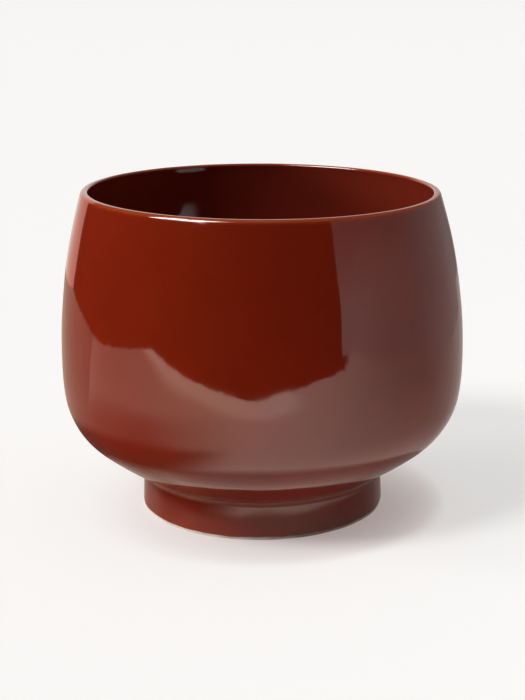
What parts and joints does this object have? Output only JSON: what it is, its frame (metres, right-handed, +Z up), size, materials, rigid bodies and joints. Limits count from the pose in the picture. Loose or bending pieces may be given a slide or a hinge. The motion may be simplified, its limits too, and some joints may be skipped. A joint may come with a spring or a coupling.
{
  "type": "cachepot",
  "caption": "Round glazed stoneware cachepot with a full belly, a gently drawn-in rim and a low foot ring.",
  "frame": {"origin": "on the pot's axis, at the level of the foot ring's bearing edge", "axes": "+Z up along the axis from the foot to the rim; the pot is round, so +X and +Y are free"},
  "size_m": [0.25, 0.25, 0.2],
  "materials": {
    "red_glaze": "gloss",
    "bare_clay": "matt"
  },
  "bodies": {
    "root": {"bowl": "red_glaze", "luting_slip": "bare_clay", "foot_ring": "bare_clay", "foot_glaze": "red_glaze", "underside_glaze": "red_glaze"}
  },
  "joints": []
}
